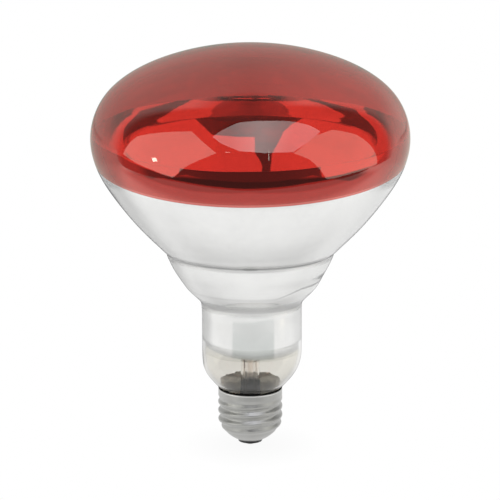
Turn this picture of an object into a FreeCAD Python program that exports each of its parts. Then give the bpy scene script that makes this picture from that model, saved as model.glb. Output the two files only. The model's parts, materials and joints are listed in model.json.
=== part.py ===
"""Infrared reflector heat lamp: blown bulb with a ruby-stained face and an aluminised reflector,
glass stem with its filament mount, and a screw cap. Millimetres, +Z up, origin at the tip of the
centre contact, lamp axis on Z, cap down."""
import FreeCAD, Part
import math
import os
from FreeCAD import Vector as V

os.makedirs("parts", exist_ok=True)

ORIGIN, AXIS = V(0, 0, 0), V(0, 0, 1)

# ---------------------------------------------------------------- bulb dimensions
GLASS_T = 1.2            # bulb wall
STAIN_T = 0.25           # ruby layer on the face (stand-in thickness)
FILM_T = 0.12            # aluminium reflector film (stand-in thickness)
SKIN_GAP = 0.01          # between a layer and the glass that carries it
STAIN_EDGE_GAP = 0.02    # between the layer's lower edge and the step in the glass
SEAL_Z = 13.8            # lower end of the bulb neck, inside the cap
SEAL_R = 10.6            # outside radius there
NECK_R = 20.42           # bulb neck, outside
NECK_LOW_Z, NECK_TOP_Z = 40.4, 59.7
BORDER_Z = 112.7         # lower edge of the ruby face
FILM_LOW_Z = NECK_LOW_Z  # lower edge of the reflector film
FILM_TOP_Z = 128.5       # upper edge of the reflector film, behind the ruby layer

# Outside of the bulb as (radius, height), in smooth stretches.
# BOWL and BODY meet at a soft concave crease.
TAPER = [
    (SEAL_R, SEAL_Z), (10.68, 16.8), (11.0, 19.6), (11.5, 22.0), (12.25, 23.9), (14.2, 26.1),
    (15.85, 28.0), (17.35, 29.9), (18.55, 31.8), (19.4, 33.7), (19.95, 35.7), (20.3, 37.9),
    (NECK_R, NECK_LOW_Z)]
NECK = [(NECK_R, NECK_LOW_Z), (NECK_R, NECK_TOP_Z)]
CONE = [(NECK_R, NECK_TOP_Z), (20.64, 60.7), (21.42, 62.0), (23.25, 64.0), (26.45, 67.6),
        (28.3, 70.3)]
BOWL = [(28.3, 70.3), (29.85, 72.7), (31.25, 75.1), (32.95, 78.7), (33.6, 80.5)]
CREASE = [(33.6, 80.5), (33.86, 81.3), (34.45, 82.0)]
BODY = [
    (34.45, 82.0), (35.38, 82.85), (37.27, 84.76), (39.51, 86.99), (41.87, 89.4), (44.35, 92.03),
    (46.91, 94.94), (49.54, 98.15), (52.27, 101.72), (55.16, 105.71), (58.09, 110.18),
    (60.68, 115.09), (62.53, 120.31), (63.44, 125.65), (63.27, 130.91), (62.09, 135.94),
    (60.02, 140.61), (57.13, 144.8), (53.52, 148.4), (49.45, 151.46), (45.09, 154.04),
    (40.57, 156.22), (35.98, 158.04), (31.38, 159.58), (26.78, 160.88), (22.21, 161.94),
    (17.65, 162.78), (13.1, 163.42), (8.58, 163.86), (4.06, 164.12), (0.0, 164.19)]

# Bottom to pole: points, start direction, end direction, sample count. Two points make a line.
STRETCHES = [
    (TAPER, (0.0, 1.0), (0.0, 1.0), 25),
    (NECK, None, None, 2),
    (CONE, (0.0, 1.0), (0.70, 1.0), 15),
    (BOWL, (0.62, 1.0), (0.2, 1.0), 11),
    (CREASE, (0.2, 1.0), (1.02, 1.0), 7),
    (BODY, (1.02, 1.0), (-1.0, 0.0), 61),
]

# ---------------------------------------------------------------- cap dimensions
# Edison thread of 27 mm size
THREAD_PITCH = 3.629
THREAD_CREST_R = 13.10
THREAD_DEPTH = 1.04
THREAD_PHASE_Z = 12.45   # height of a crest on the +X side
THREAD_MEAN_R = THREAD_CREST_R - THREAD_DEPTH / 2
SHELL_T = 0.35
RIM_Z = 23.84
RIM_BEVEL = 0.12
COLLAR_Z = 21.6          # the plain collar runs from here to the rim
COLLAR_R = 12.98
COLLAR_LAP = 0.02        # collar overlap below COLLAR_Z
# Base line of the shell's outside, before the thread is added: (radius, height, thread share)
SHELL_LINE = [
    (5.95, 2.72, 0.0), (7.0, 3.3, 0.0), (8.15, 4.05, 0.0), (9.3, 5.0, 0.0), (10.25, 5.95, 0.05),
    (11.1, 7.0, 0.2), (11.75, 8.1, 0.55), (12.25, 9.3, 0.9), (THREAD_MEAN_R - 0.08, 10.6, 1.0),
    (THREAD_MEAN_R, 12.0, 1.0), (THREAD_MEAN_R, 13.6, 1.0), (THREAD_MEAN_R, 15.2, 1.0),
    (THREAD_MEAN_R, 16.8, 1.0), (THREAD_MEAN_R + 0.03, 18.2, 0.97), (12.72, 19.4, 0.7),
    (12.88, 20.5, 0.25), (COLLAR_R, COLLAR_Z, 0.0)]
SHELL_ROWS, SHELL_COLS = 121, 48         # poles along the base line and round the axis
LIP_R = SHELL_LINE[0][0] - 0.25          # opening in the shell's lower end
SIDE_AZ = 70.0                           # where the side lead comes through the cap's rim
NOTCH_DEPTH, NOTCH_WIDTH, NOTCH_HEIGHT = 2.0, 0.42, 1.4
NOTCH_R, NOTCH_Z = 11.9, 22.79           # inner face and floor of the notch
BLOB_R, BLOB_FLATTEN = 1.05, 0.62        # side solder: ball, flattened radially by this factor
BLOB_AT_R, BLOB_Z = 12.95, 22.75
TIP_R = 1.0              # flat end of the solder tip, which meets the holder's spring contact

# ---------------------------------------------------------------- stem and mount dimensions
FLARE_RIM_Z = 12.95      # underside of the flare's rim
TUBE_R, TUBE_BORE_R, TUBE_TOP_Z = 3.9, 3.2, 35.5
DOME_LOW_Z = TUBE_TOP_Z + 0.6            # the dome above the tube starts to close in here
DOME_TOP_Z = TUBE_TOP_Z + 4.5
# Stem flare as (radius, height), from its rim up to the tube
FLARE_OUT = [(9.4, SEAL_Z), (8.2, 14.5), (6.95, 15.6), (5.85, 17.3), (4.95, 19.7), (4.15, 23.1),
             (TUBE_R, 26.6)]
FLARE_IN = [(9.9, FLARE_RIM_Z), (7.9, 13.6), (6.3, 14.8), (5.15, 16.6), (4.2, 19.2), (3.4, 22.8),
            (TUBE_BORE_R, 26.5)]
PRESS_HALF_X, PRESS_HALF_Y, PRESS_LOW_Z, PRESS_TOP_Z = 5.2, 2.3, 37.8, 46.0
EXHAUST_R, EXHAUST_T, EXHAUST_TIP_Z, EXHAUST_TOP_Z = 1.3, 0.45, 9.3, 36.6
SEAL_X, LEAD_X = 2.4, 3.4  # leads stand this far either side of the axis, in and above the press
LEAD_R, SEAL_WIRE_R, OUT_LEAD_R, SIDE_LEAD_R = 0.5, 0.3, 0.3, 0.17
SEAL_LOW_Z, SEAL_TOP_Z = 32.0, 41.5
SEAL_HOLE_LOW_Z = 34.0   # the seal wires' holes in the stem start here
FUSE_X, FUSE_LOW_Z, FUSE_TOP_Z = -3.2, 10.2, 16.4
FUSE_R, FUSE_BORE_R, FUSE_WIRE_R = 0.75, 0.42, 0.11
FUSE_INSET = 1.2         # the leads reach this far into the sleeve
ARBOR_R, ARBOR_TOP_Z = 1.5, 74.0
# Button on the arbor: (radius, height above ARBOR_TOP_Z)
BUTTON = [(ARBOR_R, -1.4), (2.1, -0.5), (2.6, 0.9), (2.35, 2.2), (1.3, 3.1), (0, 3.35)]
SHIELD_R, SHIELD_T, SHIELD_Z = 17.4, 0.3, 54.0
EYELET_R, EYELET_FLANGE_R = 0.85, 1.35
FIL_RING_R, FIL_Z = 15.0, 86.6           # filament ring, at the reflector's focus
FIL_COIL_R, FIL_WIRE_R, FIL_PITCH = 0.85, 0.17, 1.3
FIL_A0, FIL_A1 = -30.0, 210.0            # the ring is open towards -Y
COIL_STEPS, WIRE_SIDES = 12, 8           # poles per turn, and round the wire
CLAMP_R, CLAMP_LENGTH, CLAMP_START = 0.62, 2.6, 0.25
LEAD_END = 1.55                          # the lead meets its clamp this far along
SUPPORT_ANGLES = (8.0, 49.0, 90.0, 131.0, 172.0)
SUPPORT_WIRE_R, SUPPORT_LOOP_R = 0.2, 1.3
SUPPORT_ROOT_R, SUPPORT_ROOT_Z = 1.5, ARBOR_TOP_Z + 1.0
SUPPORT_HOLE_LENGTH = 4.0


# ---------------------------------------------------------------- helpers
def rz(point):
    """A (radius, height) pair as a point in the XZ plane."""
    return V(point[0], 0, point[1])


def line(a, b):
    return Part.LineSegment(rz(a), rz(b)).toShape()


def lines(points):
    """The edges joining (radius, height) points in turn."""
    return [line(a, b) for a, b in zip(points, points[1:])]


def curve(points, start, end):
    """A smooth curve in the XZ plane through (radius, height) points, with end directions."""
    spline = Part.BSplineCurve()
    between = len(points) - 2
    spline.interpolate(Points=[rz(p) for p in points],
                       Tangents=[rz(start)] + [V(0, 0, 0)] * between + [rz(end)],
                       TangentFlags=[True] + [False] * between + [True])
    return spline


def unit(direction):
    length = math.hypot(*direction)
    return (direction[0] / length, direction[1] / length)


def curve_samples(spline, count):
    """(point, unit tangent) pairs at even parameter steps."""
    first, last = spline.FirstParameter, spline.LastParameter
    out = []
    for i in range(count):
        u = first + (last - first) * i / (count - 1)
        p, d = spline.value(u), spline.tangent(u)[0]
        out.append(((p.x, p.z), unit((d.x, d.z))))
    return out


def revolve(edges):
    wire = Part.Wire(Part.__sortEdges__(edges))
    return Part.Face(wire).revolve(ORIGIN, AXIS, 360)


def polygon_solid(points):
    """Revolves a closed (radius, height) polygon round the axis."""
    corners = [rz(p) for p in points]
    return Part.Face(Part.makePolygon(corners + [corners[0]])).revolve(ORIGIN, AXIS, 360)


def one_solid(shape):
    """The single solid of a shape."""
    solids = shape.Solids
    if len(solids) != 1:
        raise SystemExit("expected one solid, got %d" % len(solids))
    return solids[0]


def post(radius, z_low, z_top, x=0):
    """An upright cylinder between two heights."""
    return Part.makeCylinder(radius, z_top - z_low, V(x, 0, z_low))


def rod(points, radius):
    """A round wire through points, with round corners."""
    parts = [Part.makeCylinder(radius, (b - a).Length, a, b - a)
             for a, b in zip(points, points[1:])]
    parts += [Part.makeSphere(radius, p) for p in points[1:-1]]
    shape = parts[0]
    if len(parts) > 1:
        shape = shape.fuse(parts[1:])
    return one_solid(shape.removeSplitter())


def directions(angle):
    """Radial and tangent unit vectors at an angle round the axis."""
    a = math.radians(angle)
    return V(math.cos(a), math.sin(a), 0), V(-math.sin(a), math.cos(a), 0)


def pole_growth(count):
    """A uniform cubic through poles on a circle runs inside it; poles this much out make up."""
    return 3.0 / (2.0 + math.cos(2 * math.pi / count))


def cubic_surface(poles):
    """A uniform cubic surface, clamped along its rows and closed round its columns."""
    spans, cols = len(poles) - 3, len(poles[0])
    surface = Part.BSplineSurface()
    surface.buildFromPolesMultsKnots(
        poles, [4] + [1] * (spans - 1) + [4], [1] * (cols + 1),
        [float(i) for i in range(spans + 1)], [float(i) for i in range(cols + 1)],
        False, True, 3, 3)
    return surface


def rims_of(face):
    return [e for e in face.Edges if e.isClosed() and not e.isSeam(face)]


def free_rim(face, neighbour):
    """The rim of a face that lies farthest from its neighbour."""
    def distance(edge):
        return min((edge.CenterOfMass - other.CenterOfMass).Length for other in neighbour.Edges)
    return max(rims_of(face), key=distance)


def capped(faces):
    """The solid inside a run of surfaces round one path, open at its two ends."""
    if len(faces) == 1:
        rims = rims_of(faces[0])
    else:
        rims = [free_rim(faces[0], faces[1]), free_rim(faces[-1], faces[-2])]
    body = Part.Compound(faces + [Part.Face(Part.Wire([e])) for e in rims])
    body.sewShape(0.001)
    solid = Part.Solid(body.Shells[0])
    if solid.Volume < 0:
        solid.reverse()
    if len(rims) != 2 or len(body.Shells) != 1 or not solid.isValid():
        raise SystemExit("a capped surface is not sound")
    return solid


def save(name, *solids):
    shape = solids[0] if len(solids) == 1 else Part.makeCompound(list(solids))
    if not shape.Solids or not all(s.isValid() for s in shape.Solids):
        raise SystemExit("node %s is not sound" % name)
    shape.exportStep("parts/%s.step" % name)


# ---------------------------------------------------------------- bulb outline
def stretch_samples(points, start, end, count):
    if len(points) == 2:
        (r0, z0), (r1, z1) = points
        direction = unit((r1 - r0, z1 - z0))
        return [(p, direction) for p in points]
    return curve_samples(curve(points, start, end), count)


def offset_chain(inset):
    """The bulb's outside moved inward: stretches of [points, start direction, end direction]."""
    chain = []
    for stretch in STRETCHES:
        samples = stretch_samples(*stretch)
        # walking up the outside, the inward normal is on the left: (-tz, tr)
        moved = [(max(r - tz * inset, 0.0), z + tr * inset) for (r, z), (tr, tz) in samples]
        chain.append([moved, samples[0][1], samples[-1][1]])
    # where two directions meet, the offset gives two end points: join them half way
    for below, above in zip(chain, chain[1:]):
        (r0, z0), (r1, z1) = below[0][-1], above[0][0]
        below[0][-1] = above[0][0] = ((r0 + r1) / 2, (z0 + z1) / 2)
    top = chain[-1][0]
    top[-1] = (0.0, top[-1][1])
    return chain


def parameter_at(spline, z):
    """Parameter of a rising curve at height z, by bisection."""
    low, high = spline.FirstParameter, spline.LastParameter
    for _ in range(60):
        middle = (low + high) / 2
        if spline.value(middle).z < z:
            low = middle
        else:
            high = middle
    return (low + high) / 2


def cut_chain(chain, z_low=-math.inf, z_top=math.inf):
    """Edges of the part of a chain between two heights. Heights rise all along the chain."""
    touch = 1e-7
    edges = []
    for points, start, end in chain:
        (r0, z0), (r1, z1) = points[0], points[-1]
        if z_low >= z1 - touch or z_top <= z0 + touch:
            continue
        if len(points) == 2:
            kept = [(r0 + (r1 - r0) * (z - z0) / (z1 - z0), z)
                    for z in (max(z0, z_low), min(z1, z_top))]
            edges.append(line(*kept))
            continue
        spline = curve(points, start, end)
        first, last = spline.FirstParameter, spline.LastParameter
        if z_low > z0 + touch:
            first = parameter_at(spline, z_low)
        if z_top < z1 - touch:
            last = parameter_at(spline, z_top)
        edges.append(spline.toShape(first, last))
    return edges


def ends(edges):
    """First and last (radius, height) of a run of edges."""
    first = edges[0].valueAt(edges[0].FirstParameter)
    last = edges[-1].valueAt(edges[-1].LastParameter)
    return (first.x, first.z), (last.x, last.z)


# ---------------------------------------------------------------- bulb glass and its layers
def make_bulb():
    """Glass wall, stepped in above the border to make room for the ruby layer."""
    low = cut_chain(offset_chain(0.0), z_top=BORDER_Z)
    up = cut_chain(offset_chain(STAIN_T + SKIN_GAP), z_low=BORDER_Z)
    inner = cut_chain(offset_chain(GLASS_T))
    low_start, low_end = ends(low)
    up_start, up_end = ends(up)
    inner_start, inner_end = ends(inner)
    return revolve(low + [line(low_end, up_start)] + up + [line(up_end, inner_end)]
                   + inner + [line(inner_start, low_start)])


def make_layer(inset, thickness, z_low, z_top=math.inf):
    """A skin that follows the bulb, its outer face moved in by inset."""
    outer = cut_chain(offset_chain(inset), z_low, z_top)
    inner = cut_chain(offset_chain(inset + thickness), z_low, z_top)
    outer_start, outer_end = ends(outer)
    inner_start, inner_end = ends(inner)
    return revolve(outer + [line(outer_end, inner_end)] + inner
                   + [line(inner_start, outer_start)])


save("bulb_glass", make_bulb())
save("ruby_face_stain", make_layer(0.0, STAIN_T, BORDER_Z + STAIN_EDGE_GAP))
save("reflector_film", make_layer(GLASS_T + SKIN_GAP, FILM_T, FILM_LOW_Z, FILM_TOP_Z))


# ---------------------------------------------------------------- screw cap shell
def thread_wave(s):
    """Height of the thread at distance s from a crest, -1 to 1: equal round crests and roots."""
    quarter = THREAD_PITCH / 4
    arc_r = (quarter ** 2 + (THREAD_DEPTH / 2) ** 2) / THREAD_DEPTH
    s = abs((s + THREAD_PITCH / 2) % THREAD_PITCH - THREAD_PITCH / 2)
    if s <= quarter:
        drop = arc_r - math.sqrt(arc_r ** 2 - s ** 2)
    else:
        s = 2 * quarter - s
        drop = THREAD_DEPTH - (arc_r - math.sqrt(arc_r ** 2 - s ** 2))
    return 1 - 2 * drop / THREAD_DEPTH


def thread_share(height):
    share = 0.0
    for (_, z0, s0), (_, z1, s1) in zip(SHELL_LINE, SHELL_LINE[1:]):
        if z0 <= height <= z1:
            share = s0 + (s1 - s0) * (height - z0) / (z1 - z0)
    return share


def shell_rows():
    """(radius, height, thread share, direction) along the shell's base line."""
    base = curve([(r, z) for r, z, _ in SHELL_LINE], (1.0, 0.5), (0.0, 1.0))
    rows = [(r, z, thread_share(z), t) for (r, z), t in curve_samples(base, SHELL_ROWS)]
    rows[-1] = (rows[-1][0], rows[-1][1], 0.0, (0.0, 1.0))
    return rows


def shell_surface(inset):
    """The threaded surface round the axis, moved inward by inset."""
    step = 2 * math.pi / SHELL_COLS
    grow = pole_growth(SHELL_COLS)
    poles = []
    for r, z, share, (tr, tz) in shell_rows():
        row = []
        for j in range(SHELL_COLS):
            a = step * (j + 1)
            lift = THREAD_PITCH * a / (2 * math.pi)
            wave = thread_wave(z - THREAD_PHASE_Z - lift)
            out = THREAD_DEPTH / 2 * share * wave - inset
            pole_r = (r + tz * out) * grow
            row.append(V(pole_r * math.cos(a), pole_r * math.sin(a), z - tr * out))
        poles.append(row)
    return cubic_surface(poles)


def make_cap_shell():
    outer, inner = shell_surface(0.0), shell_surface(SHELL_T)
    _, u_end, v_start, _ = outer.bounds()
    seam = outer.value(u_end, v_start)
    seam_angle = math.degrees(math.atan2(seam.y, seam.x))
    outer_face, inner_face = outer.toShape(), inner.toShape()
    for face in (outer_face, inner_face):
        # puts the seam on +X, where the round faces of the collar have theirs
        face.rotate(ORIGIN, AXIS, -seam_angle)
    shell = capped([outer_face]).cut(capped([inner_face])).cut(post(LIP_R, 0, 6.0))
    collar = polygon_solid([
        (COLLAR_R, COLLAR_Z - COLLAR_LAP), (COLLAR_R, RIM_Z - RIM_BEVEL),
        (COLLAR_R - RIM_BEVEL, RIM_Z), (COLLAR_R - SHELL_T, RIM_Z),
        (COLLAR_R - SHELL_T, COLLAR_Z - COLLAR_LAP)])
    shell = one_solid(shell.fuse(collar, 0.001))
    notch = Part.makeBox(NOTCH_DEPTH, NOTCH_WIDTH, NOTCH_HEIGHT,
                         V(NOTCH_R, -NOTCH_WIDTH / 2, NOTCH_Z))
    notch.rotate(ORIGIN, AXIS, SIDE_AZ)
    return one_solid(shell.cut(notch))


save("cap_shell", make_cap_shell())

# ---------------------------------------------------------------- side lead and its solder
# (radius, height) where the side lead runs in the plane at SIDE_AZ, out through the notch
SIDE_RUN = [(9.4, 11.2), (11.2, 11.7), (11.3, 19.0), (12.15, 22.2), (12.25, 22.95), (13.25, 23.0)]
SIDE_PATH = [V(SEAL_X, 0, SEAL_LOW_Z), V(SEAL_X, 0, 22.5), V(4.1, 0.3, 16.6), V(5.2, 1.2, 13.2),
             V(5.0, 4.2, 11.3)] + [directions(SIDE_AZ)[0] * r + V(0, 0, z) for r, z in SIDE_RUN]


def make_side_solder():
    """A flattened ball outside the collar, cut off level with the rim."""
    blob = Part.makeSphere(BLOB_R, ORIGIN)
    squash = FreeCAD.Matrix()
    squash.scale(BLOB_FLATTEN, 1.0, 1.0)
    blob = blob.transformGeometry(squash)
    blob.translate(V(BLOB_AT_R, 0, BLOB_Z))
    blob.rotate(ORIGIN, AXIS, SIDE_AZ)
    blob = blob.cut(post(COLLAR_R + 0.01, 20.0, 26.0))
    blob = blob.cut(post(40.0, RIM_Z, RIM_Z + 10.0))
    return one_solid(blob.cut(rod(SIDE_PATH[-2:], SIDE_LEAD_R + 0.005)))


save("lead_out_side", rod(SIDE_PATH, SIDE_LEAD_R))
save("side_solder", make_side_solder())


# ---------------------------------------------------------------- cap insulator, centre contact
def shell_inside(z_top):
    """Points up the inside of the shell's plain lower end, a hair inside it."""
    inset = SHELL_T + 0.02
    moved = [(r - tz * inset, z + tr * inset) for r, z, share, (tr, tz) in shell_rows()
             if share < 0.04]
    return [p for p in moved if p[1] <= z_top][::2]


def make_insulator():
    wall = shell_inside(6.0)
    wall_r, wall_z = wall[-1]
    under = [(0.5, 4.5), (0.5, 1.06), (2.4, 1.2), (4.62, 1.75), (4.64, 1.3), (4.86, 1.4),
             (4.93, 1.75), (5.1, 2.1), (5.4, 2.5), (LIP_R - 0.02, 2.72)]
    top = [(wall_r - 0.5, wall_z + 0.35), (7.6, 5.35), (6.0, 4.8), (4.0, 4.5)]
    return polygon_solid(under + wall + top)


save("cap_insulator", make_insulator())
save("centre_contact", polygon_solid([
    (0.58, 0.62), (2.4, 0.76), (4.35, 1.24), (4.6, 1.34), (4.6, 1.72), (2.4, 1.17), (0.58, 1.03)]))
# the solder leaves a hole for the centre lead
SOLDER_HOLE_R = OUT_LEAD_R + 0.01
save("centre_solder", polygon_solid([
    (0, 0), (TIP_R, 0), (1.55, 0.1), (2.0, 0.3), (2.28, 0.52), (2.33, 0.74), (0.56, 0.6),
    (0.48, 1.25), (SOLDER_HOLE_R, 1.25), (SOLDER_HOLE_R, 0.45), (0, 0.45)]))


# ---------------------------------------------------------------- capping cement
def make_cement():
    """Fills between the bulb's lower end and the cap, round the side lead."""
    hug = cut_chain(offset_chain(-0.01), SEAL_Z, 23.1)
    hug_start, hug_end = ends(hug)
    cap_side = [(12.61, 23.35), (12.61, COLLAR_Z + 0.3), (11.95, 20.4), (11.66, 19.3),
                (11.66, 12.7), (11.3, 12.3), (10.62, 12.3)]
    cement = revolve(hug + lines([hug_end] + cap_side + [hug_start]))
    return one_solid(cement.cut(rod(SIDE_PATH[4:], SIDE_LEAD_R + 0.01)))


save("capping_cement", make_cement())


# ---------------------------------------------------------------- stem: flare, tube and press
def make_tube():
    """The flare and the tube above it."""
    outer = curve(FLARE_OUT, (-1.0, 0.35), (0.0, 1.0)).toShape()
    inner = curve(FLARE_IN, (-1.0, 0.15), (0.0, 1.0)).toShape()
    top = [FLARE_OUT[-1], (TUBE_R, TUBE_TOP_Z), (TUBE_BORE_R, TUBE_TOP_Z), FLARE_IN[-1]]
    rim = [FLARE_IN[0], (SEAL_R, FLARE_RIM_Z), (SEAL_R, SEAL_Z), FLARE_OUT[0]]
    return revolve([outer] + lines(top) + [inner] + lines(rim))


def make_press():
    """The flat block that seals the leads, with rounded edges."""
    press = Part.makeBox(2 * PRESS_HALF_X, 2 * PRESS_HALF_Y, PRESS_TOP_Z - PRESS_LOW_Z,
                         V(-PRESS_HALF_X, -PRESS_HALF_Y, PRESS_LOW_Z))
    upright = [e for e in press.Edges
               if abs(e.valueAt(e.FirstParameter).z - e.valueAt(e.LastParameter).z) > 1.0]
    press = press.makeFillet(1.9, upright)
    press = press.makeFillet(0.8, [e for e in press.Edges
                                   if e.BoundBox.ZMin > PRESS_TOP_Z - 0.01])
    return press.makeFillet(0.9, [e for e in press.Edges
                                  if e.BoundBox.ZMax < PRESS_LOW_Z + 0.01])


def make_stem():
    dome_line = [(TUBE_R, DOME_LOW_Z), (3.65, TUBE_TOP_Z + 2.0), (2.9, TUBE_TOP_Z + 3.3),
                 (1.6, TUBE_TOP_Z + 4.2), (0, DOME_TOP_Z)]
    dome = revolve(lines([(0, TUBE_TOP_Z), (TUBE_R, TUBE_TOP_Z), (TUBE_R, DOME_LOW_Z)])
                   + [curve(dome_line, (0.0, 1.0), (-1.0, 0.0)).toShape(),
                      line((0, DOME_TOP_Z), (0, TUBE_TOP_Z))])
    bore = revolve(lines([(0, 34.9), (TUBE_BORE_R, 34.9), (TUBE_BORE_R, TUBE_TOP_Z),
                          (2.4, 36.9), (0, 37.3), (0, 34.9)]))
    stem = make_tube().fuse(dome.fuse(make_press()).cut(bore))
    for x in (-SEAL_X, SEAL_X):
        stem = stem.cut(post(SEAL_WIRE_R, SEAL_HOLE_LOW_Z, SEAL_TOP_Z, x))
        stem = stem.cut(post(LEAD_R, SEAL_TOP_Z, PRESS_TOP_Z + 1, x))
    return one_solid(stem)


def make_exhaust():
    """A tube closed below by a round tip."""
    tip_z = EXHAUST_TIP_Z + EXHAUST_R
    tube = post(EXHAUST_R, tip_z, EXHAUST_TOP_Z)
    tube = tube.fuse(Part.makeSphere(EXHAUST_R, V(0, 0, tip_z))).removeSplitter()
    return one_solid(tube.cut(post(EXHAUST_R - EXHAUST_T, tip_z + 0.4, EXHAUST_TOP_Z + 0.4)))


save("stem_glass", make_stem())
save("exhaust_tube", make_exhaust())


# ---------------------------------------------------------------- arbor and supports
def support_points(angle):
    """Root in the button, loop centre on the filament ring, and where the wire meets the loop."""
    radial, _ = directions(angle)
    root = radial * SUPPORT_ROOT_R + V(0, 0, SUPPORT_ROOT_Z)
    centre = radial * FIL_RING_R + V(0, 0, FIL_Z)
    along = centre - root
    along.normalize()
    return root, centre, centre - along * SUPPORT_LOOP_R


def make_support(angle):
    root, centre, foot = support_points(angle)
    loop = Part.makeTorus(SUPPORT_LOOP_R, SUPPORT_WIRE_R, centre, directions(angle)[1])
    wire = Part.makeCylinder(SUPPORT_WIRE_R, (foot - root).Length, root, foot - root)
    return one_solid(loop.fuse(wire).removeSplitter())


def make_arbor():
    """A rod with a button on top, bored for the supports."""
    button = [(r, ARBOR_TOP_Z + z) for r, z in BUTTON]
    arbor = revolve(lines([(0, PRESS_TOP_Z), (ARBOR_R, PRESS_TOP_Z), button[0]])
                    + [curve(button, (0.0, 1.0), (-1.0, 0.0)).toShape(),
                       line(button[-1], (0, PRESS_TOP_Z))])
    for angle in SUPPORT_ANGLES:
        root, _, foot = support_points(angle)
        hole = Part.makeCylinder(SUPPORT_WIRE_R, SUPPORT_HOLE_LENGTH, root, foot - root)
        arbor = arbor.cut(hole)
    return one_solid(arbor)


save("arbor_rod", make_arbor())
save("filament_supports", *[make_support(angle) for angle in SUPPORT_ANGLES])

# ---------------------------------------------------------------- filament
FIL_ARC = math.radians(FIL_A1 - FIL_A0)
FIL_TURNS = round(FIL_RING_R * FIL_ARC / FIL_PITCH)


def coil_frame(step):
    """Centre of the wire and its outward direction, some steps along the coil."""
    a = math.radians(FIL_A0) + FIL_ARC * step / (FIL_TURNS * COIL_STEPS)
    w = 2 * math.pi * step / COIL_STEPS
    radial = V(math.cos(a), math.sin(a), 0)
    out = radial * math.cos(w) + AXIS * math.sin(w)
    centre = radial * FIL_RING_R + V(0, 0, FIL_Z)
    return centre + out * (FIL_COIL_R * pole_growth(COIL_STEPS)), out


def make_coil():
    pole_r = FIL_WIRE_R * pole_growth(WIRE_SIDES)
    turns = [2 * math.pi * j / WIRE_SIDES for j in range(WIRE_SIDES)]
    poles = []
    for k in range(FIL_TURNS * COIL_STEPS + 1):
        centre, normal = coil_frame(k)
        along = coil_frame(k + 0.01)[0] - centre
        along.normalize()
        normal = normal - along * normal.dot(along)
        normal.normalize()
        across = along.cross(normal)
        poles.append([centre + (normal * math.cos(w) + across * math.sin(w)) * pole_r
                      for w in turns])
    surface = cubic_surface(poles)
    spans = len(poles) - 3
    # one face for each turn
    pieces = []
    for k in range(FIL_TURNS):
        piece = surface.copy()
        piece.segment(float(k * COIL_STEPS), float(min((k + 1) * COIL_STEPS, spans)),
                      0.0, float(WIRE_SIDES))
        pieces.append(piece.toShape())
    return capped(pieces)


save("filament_coil", make_coil())


# ---------------------------------------------------------------- clamps and lead-in wires
def filament_end(side):
    """Clamp origin, its direction into the gap of the ring, and the ring's tangent.
    Side is -1 for -X and 1 for +X."""
    radial, tangent = directions(FIL_A1 if side < 0 else FIL_A0)
    start = radial * (FIL_RING_R + FIL_COIL_R) + V(0, 0, FIL_Z)
    return start, tangent * -side, tangent


def make_clamp(side):
    start, along, _ = filament_end(side)
    return Part.makeCylinder(CLAMP_R, CLAMP_LENGTH, start + along * CLAMP_START, along)


def make_lead_in(side):
    """From the press up to the underside of the clamp, hollowed to fit it."""
    start, along, tangent = filament_end(side)
    axis_point = start + along * LEAD_END
    end = axis_point - V(0, 0, CLAMP_R)
    lead = rod([V(side * SEAL_X, 0, SEAL_TOP_Z), V(side * SEAL_X, 0, 47.2),
                V(side * LEAD_X, 0, 49.4), V(side * LEAD_X, 0, 59.5),
                V(end.x, end.y, 79.5), end], LEAD_R)
    return one_solid(lead.cut(
        Part.makeCylinder(CLAMP_R + 0.005, 6.0, axis_point - tangent * 3.0, tangent)))


save("filament_clamps", make_clamp(-1), make_clamp(1))
for side, name in ((-1, "left"), (1, "right")):
    save("lead_in_" + name, make_lead_in(side))
    save("seal_wire_" + name, post(SEAL_WIRE_R, SEAL_LOW_Z, SEAL_TOP_Z, side * SEAL_X))

# ---------------------------------------------------------------- centre lead with its fuse
FUSE_WIRE_LOW_Z, FUSE_WIRE_TOP_Z = FUSE_LOW_Z + FUSE_INSET, FUSE_TOP_Z - FUSE_INSET

save("lead_out_centre_upper", rod([
    V(-SEAL_X, 0, SEAL_LOW_Z), V(-SEAL_X, 0, 20.4), V(FUSE_X, 0, 17.8),
    V(FUSE_X, 0, FUSE_WIRE_TOP_Z)], OUT_LEAD_R))
save("lead_out_centre_lower", rod([
    V(FUSE_X, 0, FUSE_WIRE_LOW_Z), V(FUSE_X, 0, 8.8), V(0, 0, 6.6), V(0, 0, 0.46)], OUT_LEAD_R))
save("fuse_sleeve", one_solid(post(FUSE_R, FUSE_LOW_Z, FUSE_TOP_Z, FUSE_X)
                              .cut(post(FUSE_BORE_R, 5.0, 25.0, FUSE_X))))
save("fuse_wire", post(FUSE_WIRE_R, FUSE_WIRE_LOW_Z, FUSE_WIRE_TOP_Z, FUSE_X))


# ---------------------------------------------------------------- heat shield across the neck
def make_shield():
    shield = post(SHIELD_R, SHIELD_Z, SHIELD_Z + SHIELD_T)
    for radius, x in ((ARBOR_R + 0.1, 0), (EYELET_R + 0.01, -LEAD_X), (EYELET_R + 0.01, LEAD_X)):
        shield = shield.cut(post(radius, SHIELD_Z - 1, SHIELD_Z + 1, x))
    return one_solid(shield)


def make_eyelet(x):
    """A sleeve on a lead, with a flange under the shield and one over it."""
    top = SHIELD_Z + SHIELD_T
    eyelet = polygon_solid([
        (LEAD_R, SHIELD_Z - 1.1), (EYELET_R, SHIELD_Z - 1.1), (EYELET_R, SHIELD_Z - 0.2),
        (EYELET_FLANGE_R, SHIELD_Z - 0.2), (EYELET_FLANGE_R, SHIELD_Z), (EYELET_R, SHIELD_Z),
        (EYELET_R, top), (EYELET_FLANGE_R, top), (1.3, top + 0.25), (LEAD_R, top + 0.25)])
    eyelet.translate(V(x, 0, 0))
    return one_solid(eyelet)


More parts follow.
